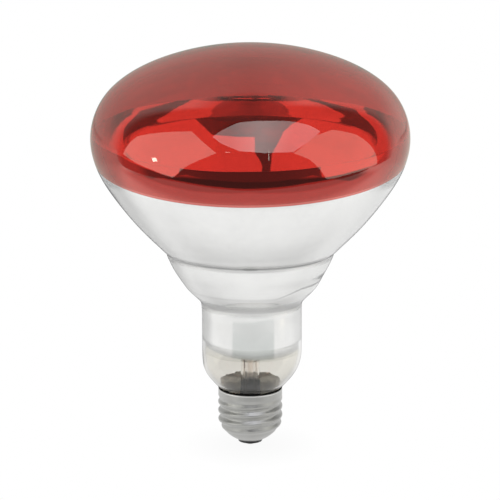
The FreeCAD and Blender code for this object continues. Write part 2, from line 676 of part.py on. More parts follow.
save("heat_shield", make_shield())
save("shield_eyelets", make_eyelet(-LEAD_X), make_eyelet(LEAD_X))
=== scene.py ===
"""A reflector lamp standing on its cap: clear blown bulb, mirrored inside, with a ruby-stained face.

The lamp's axis is Z, its cap is at the bottom and its face on top. The camera looks from -Y, so
front is -Y and right is +X. Shapes are in mm; materials read object coordinates, in metres.
"""
import bpy, bmesh, json, math
from functools import reduce
import numpy as np
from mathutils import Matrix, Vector


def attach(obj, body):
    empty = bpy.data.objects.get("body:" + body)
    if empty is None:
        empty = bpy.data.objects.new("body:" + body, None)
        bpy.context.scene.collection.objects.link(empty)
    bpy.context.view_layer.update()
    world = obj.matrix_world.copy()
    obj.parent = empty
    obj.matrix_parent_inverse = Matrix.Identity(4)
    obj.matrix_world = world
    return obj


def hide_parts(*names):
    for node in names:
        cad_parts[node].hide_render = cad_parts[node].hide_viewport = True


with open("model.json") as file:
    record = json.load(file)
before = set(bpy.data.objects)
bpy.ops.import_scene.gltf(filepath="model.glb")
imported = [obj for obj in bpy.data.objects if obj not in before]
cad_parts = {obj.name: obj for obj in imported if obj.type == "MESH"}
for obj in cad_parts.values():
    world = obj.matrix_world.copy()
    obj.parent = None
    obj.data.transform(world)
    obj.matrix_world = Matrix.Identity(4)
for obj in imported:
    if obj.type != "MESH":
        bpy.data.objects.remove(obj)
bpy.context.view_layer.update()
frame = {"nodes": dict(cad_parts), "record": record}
MM = 0.001

# ------------------------------------------------------------------ dimensions, mm
GLASS_T, STAIN_T, FILM_T = 1.2, 0.25, 0.12     # wall thicknesses
GAP = 0.02                                     # keeps touching skins apart
FUSED_LOW, FUSED_TOP = 44.6, 124.0             # heights between which the film lies on the glass
BORDER_Z = 112.7                               # lowest point of the ruby layer's edge
DIP_LOW_Z, DIP_HIGH_Z = 85.0, 150.0            # rows between these follow the tilted ruby edge
FILM_LOW_Z, FILM_TOP_Z = 40.0, 130.5
FILM_CUT_Z = FILM_TOP_Z + 4.5                  # the film's top row before it is moved to its edge
EDGE_LOW_Z, EDGE_HIGH_Z = 100.0, 158.0         # inner rows between these follow the film's edge
NECK_TOP = 74.0                                # the neck is off its axis below this

# Outside of the bulb, from cap to face: (radius, height)
NECK_R = 20.42
TAPER = [
    (10.6, 13.8), (10.68, 16.8), (11.0, 19.6), (11.5, 22.0), (12.25, 23.9), (14.2, 26.1),
    (15.85, 28.0), (17.35, 29.9), (18.55, 31.8), (19.4, 33.7), (19.95, 35.7), (20.3, 37.9),
    (NECK_R, 40.4)]
CONE = [(NECK_R, 59.7), (20.64, 60.7), (21.42, 62.0), (23.25, 64.0), (26.45, 67.6), (28.3, 70.3)]
BOWL = [CONE[-1], (29.85, 72.7), (31.25, 75.1), (32.95, 78.7), (33.6, 80.5)]
CREASE = [BOWL[-1], (33.86, 81.3), (34.45, 82.0)]
BODY = [
    CREASE[-1], (35.38, 82.85), (37.27, 84.76), (39.51, 86.99), (41.87, 89.4), (44.35, 92.03),
    (46.91, 94.94), (49.54, 98.15), (52.27, 101.72), (55.16, 105.71), (58.09, 110.18),
    (60.68, 115.09), (62.53, 120.31), (63.44, 125.65), (63.27, 130.91), (62.09, 135.94),
    (60.02, 140.61), (57.13, 144.8), (53.52, 148.4), (49.45, 151.46), (45.09, 154.04),
    (40.57, 156.22), (35.98, 158.04), (31.38, 159.58), (26.78, 160.88), (22.21, 161.94),
    (17.65, 162.78), (13.1, 163.42), (8.58, 163.86), (4.06, 164.12), (0.0, 164.19)]
UP = (0, 1)
# points, direction at the start, direction at the end, number of rows
STRETCHES = [
    (TAPER, UP, UP, 40),
    ([TAPER[-1], CONE[0]], None, None, 14),
    (CONE, UP, (0.70, 1.0), 22),
    (BOWL, (0.62, 1.0), (0.2, 1.0), 20),
    (CREASE, (0.2, 1.0), (1.02, 1.0), 12),
    (BODY, (1.02, 1.0), (-1, 0), 150)]


# ------------------------------------------------------------------ profile
def unit(v):
    return v / np.linalg.norm(v)


def spline(points, start, end, count):
    """Points and unit tangents on a chord-length cubic, with the end directions given."""
    p = np.array(points, float)
    if len(p) == 2:
        along = np.linspace(0, 1, count)[:, None]
        return p[0] + (p[1] - p[0]) * along, np.repeat(unit(p[1] - p[0])[None], count, 0)
    h = np.linalg.norm(np.diff(p, axis=0), axis=1)
    knots = np.concatenate([[0], np.cumsum(h)])
    m = len(p)
    a, b = np.zeros((m, m)), np.zeros((m, 2))
    a[0, 0] = a[-1, -1] = 1
    b[0], b[-1] = unit(np.array(start, float)), unit(np.array(end, float))
    for i in range(1, m - 1):
        a[i, i - 1], a[i, i], a[i, i + 1] = h[i], 2 * (h[i - 1] + h[i]), h[i - 1]
        b[i] = 3 * (h[i] * (p[i] - p[i - 1]) / h[i - 1] + h[i - 1] * (p[i + 1] - p[i]) / h[i])
    slope = np.linalg.solve(a, b)
    places, tangents = [], []
    for x in np.linspace(0, knots[-1], count):
        i = min(int(np.searchsorted(knots, x, side="right")) - 1, m - 2)
        s = (x - knots[i]) / h[i]
        places.append((2*s**3 - 3*s**2 + 1) * p[i] + (s**3 - 2*s**2 + s) * h[i] * slope[i]
                      + (-2*s**3 + 3*s**2) * p[i + 1] + (s**3 - s**2) * h[i] * slope[i + 1])
        tangents.append(unit((6*s**2 - 6*s) * p[i] / h[i] + (3*s**2 - 4*s + 1) * slope[i]
                             + (-6*s**2 + 6*s) * p[i + 1] / h[i] + (3*s**2 - 2*s) * slope[i + 1]))
    return np.array(places), np.array(tangents)


def outside_profile():
    """All stretches joined, with the tangents averaged where two meet."""
    points, tangents = [], []
    for stretch in STRETCHES:
        p, t = spline(*stretch)
        if points:
            tangents[-1][-1] = unit(tangents[-1][-1] + t[0])
            p, t = p[1:], t[1:]
        points.append(p)
        tangents.append(t)
    p = np.concatenate(points)
    p[-1, 0] = 0.0
    return p, np.concatenate(tangents)


OUT_P, OUT_T = outside_profile()


def layer(depth, z_low=None, z_top=None):
    """The bulb's outside moved inward by depth, between two heights."""
    p = OUT_P + np.stack([-OUT_T[:, 1], OUT_T[:, 0]], 1) * depth
    p[:, 0] = np.maximum(p[:, 0], 0.0)
    p[-1, 0] = 0.0
    z = p[:, 1]
    order = np.argsort(z)
    low = -math.inf if z_low is None else z_low
    top = math.inf if z_top is None else z_top
    rows = p[(z > low) & (z < top)]
    if z_low is not None:
        rows = np.vstack([[np.interp(z_low, z[order], p[order, 0]), z_low], rows])
    if z_top is not None:
        rows = np.vstack([rows, [np.interp(z_top, z[order], p[order, 0]), z_top]])
    return rows


def radius_at(profile, z):
    return float(np.interp(z, profile[:, 1], profile[:, 0]))


def loop_rows(outer, inner):
    """Rows up the outer profile and back down the inner one."""
    return [tuple(p) for p in outer] + [tuple(p) for p in inner[::-1]]


def lathe(name, rows, mats, warp, band_mats=None, sharp=(), segs=192):
    """Turns a closed loop of (radius, height) rows round Z.

    warp(row, radius, height, angle) moves each point, band_mats gives the material of the band
    above each row, and sharp lists the rows with a hard edge.
    """
    bm = bmesh.new()
    rings = []
    for i, (r, z) in enumerate(rows):
        if r < 1e-6:
            rings.append([bm.verts.new((0, 0, z * MM))])
            continue
        ring = []
        for k in range(segs):
            a = 2 * math.pi * k / segs
            rr, zz = warp(i, r, z, a)
            ring.append(bm.verts.new((rr * math.cos(a) * MM, rr * math.sin(a) * MM, zz * MM)))
        rings.append(ring)
    for i, a in enumerate(rings):
        b = rings[(i + 1) % len(rings)]
        if len(a) == 1 and len(b) == 1:
            continue
        for k in range(segs):
            k2 = (k + 1) % segs
            if len(a) == 1:
                f = bm.faces.new((a[0], b[k2], b[k]))
            elif len(b) == 1:
                f = bm.faces.new((a[k], a[k2], b[0]))
            else:
                f = bm.faces.new((a[k], a[k2], b[k2], b[k]))
            f.material_index = band_mats[i] if band_mats else 0
            f.smooth = True
    bm.normal_update()
    for i in sharp:
        for k in range(segs):
            bm.edges.get((rings[i][k], rings[i][(k + 1) % segs])).smooth = False
    bmesh.ops.recalc_face_normals(bm, faces=bm.faces)
    me = bpy.data.meshes.new(name)
    bm.to_mesh(me)
    bm.free()
    obj = bpy.data.objects.new(name, me)
    bpy.context.scene.collection.objects.link(obj)
    for mat in mats:
        me.materials.append(mat)
    return obj


def hand_over(obj, cad_piece):
    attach(obj, "root")
    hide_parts(cad_piece)


# ------------------------------------------------------------------ node builders
class Nodes:
    """Adds nodes to a cleared tree. Any input may be a value or another node's output."""

    def __init__(self, tree):
        self.tree = tree
        tree.nodes.clear()

    def make(self, kind, settings=(), **inputs):
        """A node; i0, i1 ... name inputs by number, and an input given None is left alone."""
        node = self.tree.nodes.new("ShaderNode" + kind)
        for key, value in dict(settings).items():
            setattr(node, key, value)
        for key, value in inputs.items():
            if value is None:
                continue
            socket = node.inputs[int(key[1:]) if key[1:].isdigit() else key.replace("_", " ")]
            if isinstance(value, bpy.types.NodeSocket):
                self.tree.links.new(value, socket)
            elif socket.type == "RGBA" and len(value) == 3:
                socket.default_value = (*value, 1)
            else:
                socket.default_value = value
        return node

    def node(self, kind, output=0, **inputs):
        return self.make(kind, **inputs).outputs[output]

    def math(self, op, a, b=0.0, c=0.0):
        return self.node("Math", settings={"operation": op}, i0=a, i1=b, i2=c)

    def add(self, *terms):
        return reduce(lambda a, b: self.math("ADD", a, b), terms)

    def mul(self, *terms):
        return reduce(lambda a, b: self.math("MULTIPLY", a, b), terms)

    def max(self, *terms):
        return reduce(lambda a, b: self.math("MAXIMUM", a, b), terms)

    def min(self, a, b):
        return self.math("MINIMUM", a, b)

    def sub(self, a, b):
        return self.math("SUBTRACT", a, b)

    def div(self, a, b):
        return self.math("DIVIDE", a, b)

    def abs(self, a):
        return self.math("ABSOLUTE", a)

    def scale_add(self, value, scale, offset):
        return self.math("MULTIPLY_ADD", value, scale, offset)

    def hypot(self, x, y):
        return self.math("SQRT", self.add(self.mul(x, x), self.mul(y, y)))

    def remap(self, value, span, to=(0.0, 1.0), kind="LINEAR"):
        """Maps value from one (start, end) to another, clamped."""
        return self.node("MapRange", settings={"interpolation_type": kind}, Value=value,
                         From_Min=span[0], From_Max=span[1], To_Min=to[0], To_Max=to[1])

    def ease(self, value, span, to=(0.0, 1.0)):
        return self.remap(value, span, to, kind="SMOOTHSTEP")

    def split(self, vector):
        return self.make("SeparateXYZ", Vector=vector).outputs


class Mat(Nodes):
    """A node material, textured in object coordinates."""

    def __init__(self, name):
        self.mat = bpy.data.materials.new(name)
        self.mat.use_nodes = True
        super().__init__(self.mat.node_tree)
        self.coord = self.node("TexCoord", output="Object")

    def surface(self, shader):
        self.make("OutputMaterial", Surface=shader)
        return self.mat

    def emission(self, color, strength):
        return self.surface(self.node("Emission", Color=color, Strength=strength))

    def noise(self, scale, detail=3.0, rough=0.5, vector=None):
        return self.node("TexNoise", Vector=vector or self.coord, Scale=scale, Detail=detail,
                         Roughness=rough)

    def ramp(self, fac, dark, light, span=(0.3, 0.7)):
        node = self.make("ValToRGB", Fac=fac)
        for element, place, color in zip(node.color_ramp.elements, span, (dark, light)):
            element.position = place
            element.color = (*color, 1)
        return node.outputs[0]

    def mix(self, fac, a, b):
        return self.node("Mix", output=2, settings={"data_type": "RGBA"}, i0=fac, i6=a, i7=b)

    def bump(self, height, strength, distance, normal=None):
        return self.node("Bump", Height=height, Strength=strength, Distance=distance,
                         Normal=normal)

    def geometry(self, output):
        return self.node("NewGeometry", output=output)

    def xyz(self):
        return self.split(self.coord)

    def facing(self):
        """0 where seen square on, 1 where seen edge-on."""
        return self.node("LayerWeight", output="Facing", Blend=0.5)

    def azimuth(self, x, y):
        """Angle round the lamp: 0 in front, positive to the right."""
        return self.math("ARCTAN2", x, self.mul(y, -1.0))

    def oval(self, x, x_half, other, centre, half):
        """Squared distance from an oval's middle: 1 on its outline."""
        u = self.mul(x, 1 / x_half)
        v = self.mul(self.sub(other, centre), 1 / half)
        return self.add(self.mul(u, u), self.mul(v, v))

    def outward(self):
        """1 where the surface faces away from the lamp's axis."""
        nx, ny, nz = self.split(self.geometry("True Normal"))
        x, y, z = self.xyz()
        return self.math("GREATER_THAN", self.add(self.mul(nx, x), self.mul(ny, y)), 0.0)


# ------------------------------------------------------------------ glass
def glass_tint(m, base, vary):
    return m.ramp(m.noise(scale=60), [c * (1 - vary) for c in base], base)


def glass_shader(m, normal, back, front_ior, mirror, tint):
    """Bends light and mirrors it by angle; back is 1 on the inside of the surface."""
    fresnel = m.node("Fresnel", IOR=m.remap(back, (0, 1), to=(front_ior, 1.5)), Normal=normal)
    gloss = m.node("BsdfAnisotropic", Color=mirror, Roughness=0.0, Normal=normal)
    bent = m.node("BsdfRefraction", Color=tint, Roughness=0.0, IOR=1.5, Normal=normal)
    return m.surface(m.node("MixShader", i0=fresnel, i1=bent, i2=gloss))


def make_glass(name, tint, low_z, low_tint, wave=0.25, rim_gloss=0.35, low_gloss=1.0):
    """Slightly wavy blown glass; below low_z it fades to low_tint and low_gloss."""
    m = Mat(name)
    normal = m.bump(m.noise(scale=38, detail=2, rough=0.4), strength=0.06 * wave, distance=0.004)
    normal = m.bump(m.noise(scale=900, detail=2), strength=0.012 * wave, distance=0.0006,
                    normal=normal)
    back = m.geometry("Backfacing")
    gloss = m.max(m.remap(m.facing(), (0.86, 0.94), to=(1.0, rim_gloss)), back)
    low = m.remap(m.xyz()[2], low_z, to=(1.0, 0.0))
    color = m.mix(low, glass_tint(m, tint, vary=0.012), low_tint)
    gloss = m.mul(gloss, m.scale_add(low, low_gloss - 1.0, 1.0))
    mirror = m.mix(gloss, (0, 0, 0), (1, 1, 1))
    return glass_shader(m, normal, back, front_ior=1.5, mirror=mirror, tint=color)


def make_fused(name):
    """A face where two glasses are fused: light goes straight on."""
    m = Mat(name)
    return m.surface(m.node("BsdfTransparent", Color=glass_tint(m, (1, 1, 1), vary=0.01)))


def make_ruby():
    m = Mat("ruby_stain")
    normal = m.bump(m.noise(scale=30, detail=2, rough=0.4), strength=0.012, distance=0.004)
    tint = m.ramp(m.noise(scale=22), dark=(0.74, 0.152, 0.132), light=(0.79, 0.176, 0.151))
    return glass_shader(m, normal, m.geometry("Backfacing"), front_ior=1.9,
                        mirror=(1, 0.99, 0.88), tint=tint)


# ------------------------------------------------------------------ reflector film
def film_facing(m, x, y, z, outward):
    """How edge-on the film is, as seen from outside the glass it lies on."""
    inner = m.facing()
    cosine = m.sub(1.0, inner)
    radius = m.hypot(x, y)
    # 1.5 is the glass's index; the wall is taken as 1.3 mm thick
    bend = m.div(m.mul(radius, 1.5), m.add(radius, 0.0013))
    sine2 = m.mul(m.sub(1.0, m.mul(cosine, cosine)), m.mul(bend, bend))
    outer = m.sub(1.0, m.math("SQRT", m.sub(1.0, m.min(sine2, 1.0))))
    bonded = m.mul(outward, m.math("GREATER_THAN", z, FUSED_LOW * MM))
    return m.add(m.mul(bonded, outer), m.mul(m.sub(1.0, bonded), inner))


def near_height(m, z, height, full, none, peak=1.0):
    """peak within full of a height, fading to 0 at none from it."""
    return m.remap(m.abs(m.sub(z, height)), (full, none), to=(peak, 0.0))


def painted_bowl_shade(m, x, y, z):
    """Painted shade and painted reflections round the bowl as dark marks, each 0 to 1."""
    angle = m.azimuth(x, y)

    def crease(height, half):
        """A thin painted dark line at the crease, rising towards both sides."""
        return near_height(m, z, m.scale_add(m.abs(x), 0.022, height), full=0.0, none=half)

    right = m.mul(crease(0.0820, half=0.0008), m.remap(angle, (0.20, 1.05), to=(0.06, 0.85)))
    left = m.mul(crease(0.0818, half=0.0019), m.remap(angle, (-1.15, -0.30), to=(0.38, 0.08)))
    # a painted dark oval in the middle of the front: the cap's reflection, painted in
    oval = m.oval(x, x_half=0.0036, other=z, centre=0.0823, half=0.0010)
    cap_reflection = m.mul(m.remap(oval, (0.5, 1.0), to=(0.30, 0.0)), m.math("LESS_THAN", y, 0.0))
    # painted shade: a soft dark band where the neck opens, stronger at the sides
    wide = m.remap(m.abs(angle), (0.70, 1.25), to=(1.0, 2.4))
    band = m.mul(m.mul(m.remap(z, (0.0600, 0.0606), to=(0.0, 0.15)),
                       m.remap(z, (0.0610, 0.0645), to=(1.0, 0.0))), wide)
    # a thin painted dark line under the bowl, climbing and darkening to the right
    bowl_line_z = m.remap(angle, (0.40, 0.80), to=(0.0676, 0.0709))
    bowl_line = m.mul(near_height(m, z, bowl_line_z, full=0.0, none=0.0007),
                 m.remap(angle, (0.35, 1.15), to=(0.08, 0.80)),
                 m.remap(angle, (1.75, 2.0), to=(1.0, 0.0)))
    return m.max(right, left, cap_reflection, band, bowl_line)


def film_roughness(m, z, grain, face, outward):
    """A fine grain, hazier at a glance near the top, at the crease and in the neck."""
    veil = m.mul(m.remap(face, (0.45, 0.70), to=(0.0, 0.30)), m.remap(z, (0.112, 0.116)))
    crease = near_height(m, z, 0.0817, full=0.0010, none=0.0024, peak=0.28)
    neck_end = near_height(m, z, 0.0614, full=0.0020, none=0.0036, peak=0.30)
    haze = m.add(m.mul(m.add(crease, neck_end), outward),
                 m.remap(z, (0.0580, 0.0600), to=(0.06, 0.0)))
    return m.add(m.remap(grain, (0.3, 0.7), to=(0.03, 0.06)), m.add(veil, haze))


def film_edge_fade(m, x, z):
    """How solid and how darkened the film is at its thin lower edge, in the neck."""
    across = m.mul(x, 1 / 0.0204)          # -1 to 1 over the neck
    edge = m.scale_add(m.mul(across, across), 0.00205, 0.0406)      # bowed
    edge = m.scale_add(across, -0.00115, edge)                      # tilted
    ragged = m.sub(m.noise(scale=110, rough=0.6), 0.5)
    above = m.sub(z, m.scale_add(ragged, 0.0011, edge))
    solid = m.remap(above, (0.0, 0.0012))
    reach = m.scale_add(across, 0.0008, 0.0042)
    thin = m.mul(m.remap(m.div(above, reach), (0.40, 1.0), to=(1.0, 0.0)), 0.36)
    return solid, m.max(thin, m.remap(above, (0.0003, 0.0010), to=(0.36, 0.0)))


def make_film():
    m = Mat("reflector_film")
    grain = m.noise(scale=260, detail=4, rough=0.6)
    color = m.ramp(grain, dark=(0.915, 0.915, 0.91), light=(0.94, 0.94, 0.935))
    normal = m.bump(m.noise(scale=24), strength=0.03, distance=0.004)
    x, y, z = m.xyz()
    outward = m.outward()
    face = film_facing(m, x, y, z, outward)
    # painted shade and a painted reflection of the cap: dark lines, a band and an oval on the
    # outward side of the film
    painted_shade = m.mul(painted_bowl_shade(m, x, y, z), outward)
    # painted shade: the film darkens where it is seen nearly edge-on
    painted_shade = m.max(painted_shade, m.remap(face, (0.86, 0.97), to=(0.0, 0.45)))
    solid, thin = film_edge_fade(m, x, z)
    mirror = m.node("BsdfPrincipled", Metallic=1.0, Normal=normal,
                    Roughness=film_roughness(m, z, grain, face, outward),
                    Base_Color=m.mix(m.max(painted_shade, thin), color, (0.05, 0.05, 0.05)))
    clear = m.node("BsdfTransparent", Color=(0.94, 0.94, 0.93))
    return m.surface(m.node("MixShader", i0=solid, i1=clear, i2=mirror))


# ------------------------------------------------------------------ metals and dull materials
def paint_band(m, color, bottom, top, soft, paint, amount):
    """Colours the heights from bottom to top, with soft ends."""
    z = m.xyz()[2]
    inside = m.mul(m.remap(z, (bottom - soft, bottom), to=(0.0, amount)),
                   m.remap(z, (top, top + soft), to=(1.0, 0.0)))
    return m.mix(inside, color, paint)


def make_metal(name, base, rough, vary=0.12, scale=400, bump=0.15, stretch=(1, 1, 1),
               tarnish=None, bands=(), painted_flank_sheen=None):
    """tarnish (in patches) and the painted sheen on the flanks (where it turns away) are each
    (colour, amount).
    """
    m = Mat(name)
    coord = m.node("Mapping", Vector=m.coord, Scale=stretch)
    grain = m.noise(scale, detail=4, rough=0.55, vector=coord)
    color = m.ramp(grain, [c * (1 - vary) for c in base],
                   [min(1, c * (1 + vary * 0.5)) for c in base], span=(0.25, 0.75))
    if tarnish:
        patches = m.noise(scale * 0.12, vector=coord)
        color = m.mix(m.remap(patches, (0.45, 0.72), to=(0.0, tarnish[1])), color, tarnish[0])
    for band in bands:
        color = paint_band(m, color, **band)
    # painted sheen: lighter where the metal turns away from the view
    if painted_flank_sheen:
        color = m.mix(m.remap(m.facing(), (0.30, 0.85), to=(0.0, painted_flank_sheen[1])), color, painted_flank_sheen[0])
    return m.surface(m.node(
        "BsdfPrincipled", Base_Color=color, Metallic=1.0,
        Roughness=m.remap(grain, (0.3, 0.7), to=(rough * 0.8, rough * 1.25)),
        Normal=m.bump(grain, strength=bump, distance=0.0001)))


def make_dull(name, dark, light, rough, scale, bump, spec, coat=0.0, shadow_line_z=None):
    """The last argument is a height above which the outward faces are painted black: a painted
    shadow line in the gap at the cap rim.
    """
    m = Mat(name)
    grain = m.noise(scale, detail=5, rough=0.6)
    patches = m.noise(scale * 0.2, detail=4, rough=0.55)
    color = m.ramp(m.scale_add(grain, 0.6, m.mul(patches, 0.4)), dark, light)
    # painted shadow: black outward faces above this height stand for the dark gap at the cap rim
    if shadow_line_z:
        above = m.remap(m.xyz()[2], (shadow_line_z, shadow_line_z + 0.0002))
        color = m.mix(m.mul(m.outward(), above), color, (0.004, 0.004, 0.004))
    return m.surface(m.node(
        "BsdfPrincipled", Base_Color=color, Specular_IOR_Level=spec, Coat_Weight=coat,
        Roughness=m.remap(patches, (0.3, 0.7), to=(rough * 0.85, min(1, rough * 1.15))),
        Normal=m.bump(grain, strength=bump, distance=0.0003)))


WIRE = dict(scale=2500, bump=0.2, stretch=(1, 1, 0.1))
METALS = {
    "cap_metal": dict(
        # the cap gets a painted sheen, lighter where it turns away from the view
        base=(0.515, 0.515, 0.495), rough=0.44, painted_flank_sheen=((0.80, 0.80, 0.78), 0.75), vary=0.10,
        scale=700, bump=0.10, stretch=(1, 1, 0.25), tarnish=((0.38, 0.37, 0.35), 0.35),
        # black at the bottom, and a painted highlight line near the rim
        bands=[dict(bottom=-1.0, top=0.00355, soft=0.0002, paint=(0.004, 0.004, 0.004),
                    amount=1.0),
               dict(bottom=0.0235, top=0.0242, soft=0.0002, paint=(0.95, 0.95, 0.93),
                    amount=0.8)]),
    "nickel_wire": dict(base=(0.62, 0.60, 0.57), rough=0.28, **WIRE),
    "seal_wire": dict(base=(0.27, 0.22, 0.20), rough=0.35, **WIRE),
    # a lighter copy of the seal wire's metal: a painted highlight, used on the right seal wire
    "seal_wire_bright": dict(base=(0.82, 0.77, 0.74), rough=0.35, **WIRE),
    "copper_wire": dict(
        base=(0.60, 0.55, 0.50), rough=0.30, tarnish=((0.42, 0.36, 0.31), 0.5), **WIRE,
        # painted shade: the copper wires are dark below 26.8 mm, in the cap's shadow
        bands=[dict(bottom=-1.0, top=0.0268, soft=0.0010, paint=(0.10, 0.095, 0.09),
                    amount=1.0)]),
    "molybdenum_wire": dict(base=(0.38, 0.38, 0.39), rough=0.38, scale=3000, bump=0.2),
    "tungsten": dict(base=(0.22, 0.22, 0.23), rough=0.42, scale=4000, bump=0.3),
    "contact_metal": dict(base=(0.55, 0.46, 0.33), rough=0.36, scale=1500, bump=0.3,
                          tarnish=((0.22, 0.18, 0.13), 0.7)),
    "solder": dict(base=(0.42, 0.42, 0.42), rough=0.42, scale=1200, bump=0.5,
                   tarnish=((0.20, 0.20, 0.20), 0.7))}
DULLS = {
    "black_glass": dict(dark=(0.006, 0.006, 0.006), light=(0.014, 0.013, 0.012), rough=0.22,
                        scale=900, bump=0.1, spec=0.5),
    # the cement's outward faces above 23.8 mm are painted black: a painted shadow line at the cap
    # rim
    "cement": dict(dark=(0.36, 0.355, 0.33), light=(0.54, 0.53, 0.495), rough=0.92,
                   scale=900, bump=0.7, spec=0.2, shadow_line_z=0.0238),
    "mica": dict(dark=(0.42, 0.33, 0.20), light=(0.62, 0.52, 0.36), rough=0.45,
                 scale=260, bump=0.25, spec=0.6, coat=0.3)}

glass = make_glass("glass_clear", tint=(0.985, 0.985, 0.978), low_z=(0.0400, 0.0430),
                   low_tint=(0.975, 0.968, 0.945))
# painted shade: the stem glass turns grey and loses most of its gloss below about 27 mm, in the
# cap's shadow
stem_glass = make_glass("glass_stem", tint=(0.974, 0.960, 0.950), low_z=(0.0262, 0.0280),
                        low_tint=(0.66, 0.65, 0.635), wave=0.6, rim_gloss=1.0, low_gloss=0.25)
fused = make_fused("glass_fused")
fused_ruby = make_fused("ruby_fused")
ruby = make_ruby()
film = make_film()
metals = {name: make_metal(name, **spec) for name, spec in METALS.items()}
dulls = {name: make_dull(name, **spec) for name, spec in DULLS.items()}

# the CAD pieces that keep their shape, by material slot
# the right seal wire gets the lighter, painted-highlight copy of the seal wire's metal
painted_lit_wire = metals.pop("seal_wire_bright")
finish = {"stem_glass": stem_glass, **metals, **dulls}
slots = {s["node"]: s["material_slot"] for s in frame["record"]["subparts"]}
for node, obj in frame["nodes"].items():
    if slots.get(node) in finish:
        for slot in obj.material_slots:
            slot.material = painted_lit_wire if node == "seal_wire_right" else finish[slots[node]]


# ------------------------------------------------------------------ bulb glass
def dip(a):
    """How far the ruby layer's edge stands above its lowest point: lowest in front, as dipped
    a little tilted."""
    return 6.16 * (1 + math.sin(a)) + 0.52 * math.cos(a)


def dipped(r, z, a, profile):
    """Slides a point along a profile so that the row at BORDER_Z follows the ruby edge."""
    if not DIP_LOW_Z < z < DIP_HIGH_Z:
        return r, z
    if z <= BORDER_Z + 0.03:
        share = (z - DIP_LOW_Z) / (BORDER_Z - DIP_LOW_Z)
    else:
        share = (DIP_HIGH_Z - z) / (DIP_HIGH_Z - BORDER_Z)
    z2 = z + min(1.0, share) * dip(a)
    return radius_at(profile, z2), z2


def film_top(a):
    """Height of the reflector's upper edge: slightly tilted and uneven, under the ruby face."""
    return (FILM_TOP_Z + 3.2 * math.sin(a) + 0.5 * math.cos(a)
            + 0.12 * math.sin(5 * a + 0.7) + 0.08 * math.sin(11 * a))


def hump(z, low, rise, high, fall):
    """0 at low and high, eased up to 1 between them."""
    t = min(1.0, max(0.0, (z - low) / rise)) * min(1.0, max(0.0, (high - z) / fall))
    return t * t * (3.0 - 2.0 * t)


def neck(r, z, a):
    """The neck stands a little towards +X and is a little slimmer, and the bowl above it is a
    little fuller on that side."""
    shift = hump(z, low=28.9, rise=10.5, high=66.0, fall=11.0)
    fuller = hump(z, low=57.0, rise=7.0, high=NECK_TOP, fall=7.0)
    return r + shift * (0.65 * math.cos(a) - 0.32) + fuller * 0.36 * (1.0 + math.cos(a)), z


outer, recess, inner = layer(0.0), layer(STAIN_T + GAP), layer(GLASS_T)
lower = layer(0.0, z_top=BORDER_Z)
upper = layer(STAIN_T + GAP, z_low=BORDER_Z)      # set back to make room for the stain
rows = loop_rows(np.vstack([lower, upper]), inner)
lower_end = len(lower)
outer_end = lower_end + len(upper)
band_mats = [0] * len(rows)
for i in range(lower_end - 1, outer_end - 1):
    band_mats[i] = 1                              # under the stain
for i in range(outer_end, len(rows) - 1):
    if all(FUSED_LOW < z < FUSED_TOP for r, z in rows[i:i + 2]):
        band_mats[i] = 1                          # the film is on the glass, with no air between
fused_z = max(z for r, z in inner if z < FUSED_TOP)


def bulb_warp(i, r, z, a):
    if z < NECK_TOP:
        return neck(r, z, a)
    if i < outer_end:
        return dipped(r, z, a, outer if i < lower_end else recess)
    if EDGE_LOW_Z < z < EDGE_HIGH_Z:
        # the last fused row follows the film's upper edge
        if z <= fused_z:
            share = (z - EDGE_LOW_Z) / (fused_z - EDGE_LOW_Z)
        else:
            share = (EDGE_HIGH_Z - z) / (EDGE_HIGH_Z - fused_z)
        z2 = z + share * (film_top(a) - 0.05 - fused_z)
        return radius_at(inner, z2), z2
    return r, z


bulb = lathe("bulb_glass_blown", rows, [glass, fused], bulb_warp, band_mats,
             sharp=[0, lower_end - 1, lower_end, len(rows) - 1])
hand_over(bulb, "bulb_glass")

# ------------------------------------------------------------------ ruby face
stain = layer(STAIN_T)
stain_outer, stain_inner = (layer(depth, z_low=BORDER_Z + 0.02) for depth in (0.0, STAIN_T))
rows = loop_rows(stain_outer, stain_inner)


def stain_warp(i, r, z, a):
    return dipped(r, z, a, outer if i < len(stain_outer) else stain)


face = lathe("ruby_face", rows, [ruby, fused_ruby], stain_warp,
             [0] * (len(stain_outer) - 1) + [1] * (len(stain_inner) + 1),
             sharp=[0, len(rows) - 1])
hand_over(face, "ruby_face_stain")

# ------------------------------------------------------------------ reflector film
film_outer, film_inner = (layer(depth, FILM_LOW_Z, FILM_CUT_Z)
                          for depth in (GLASS_T + GAP, GLASS_T + GAP + FILM_T))
rows = loop_rows(film_outer, film_inner)


def film_warp(i, r, z, a):
    if z < NECK_TOP:
        return neck(r, z, a)
    share = max(0.0, (z - EDGE_LOW_Z) / (FILM_CUT_Z - EDGE_LOW_Z))
    z2 = z + share * (film_top(a) - FILM_CUT_Z)
    return radius_at(film_outer if i < len(film_outer) else film_inner, z2), z2


mirror = lathe("reflector_film_skin", rows, [film], film_warp,
               sharp=[0, len(film_outer) - 1, len(film_outer), len(rows) - 1])
hand_over(mirror, "reflector_film")

# ------------------------------------------------------------------ cement between glass and cap
HUG_ROWS = 30                              # rows that lie against the glass
CEMENT_LOW_Z, CEMENT_TOP_Z = 13.9, 24.0
CEMENT_RISE_Z = 19.0                       # rows above this follow the uneven edge
CAP_RIM_R = 12.6
# (radius, height) of the side against the cap, downwards
CEMENT_OUTER = [(CAP_RIM_R, 24.0), (CAP_RIM_R, 23.7), (12.61, 21.9), (11.95, 20.4), (11.66, 19.3),
                (11.66, 12.7), (11.3, 12.3), (10.7, 12.3)]
hug = layer(-0.02, 13.8, 26.6)


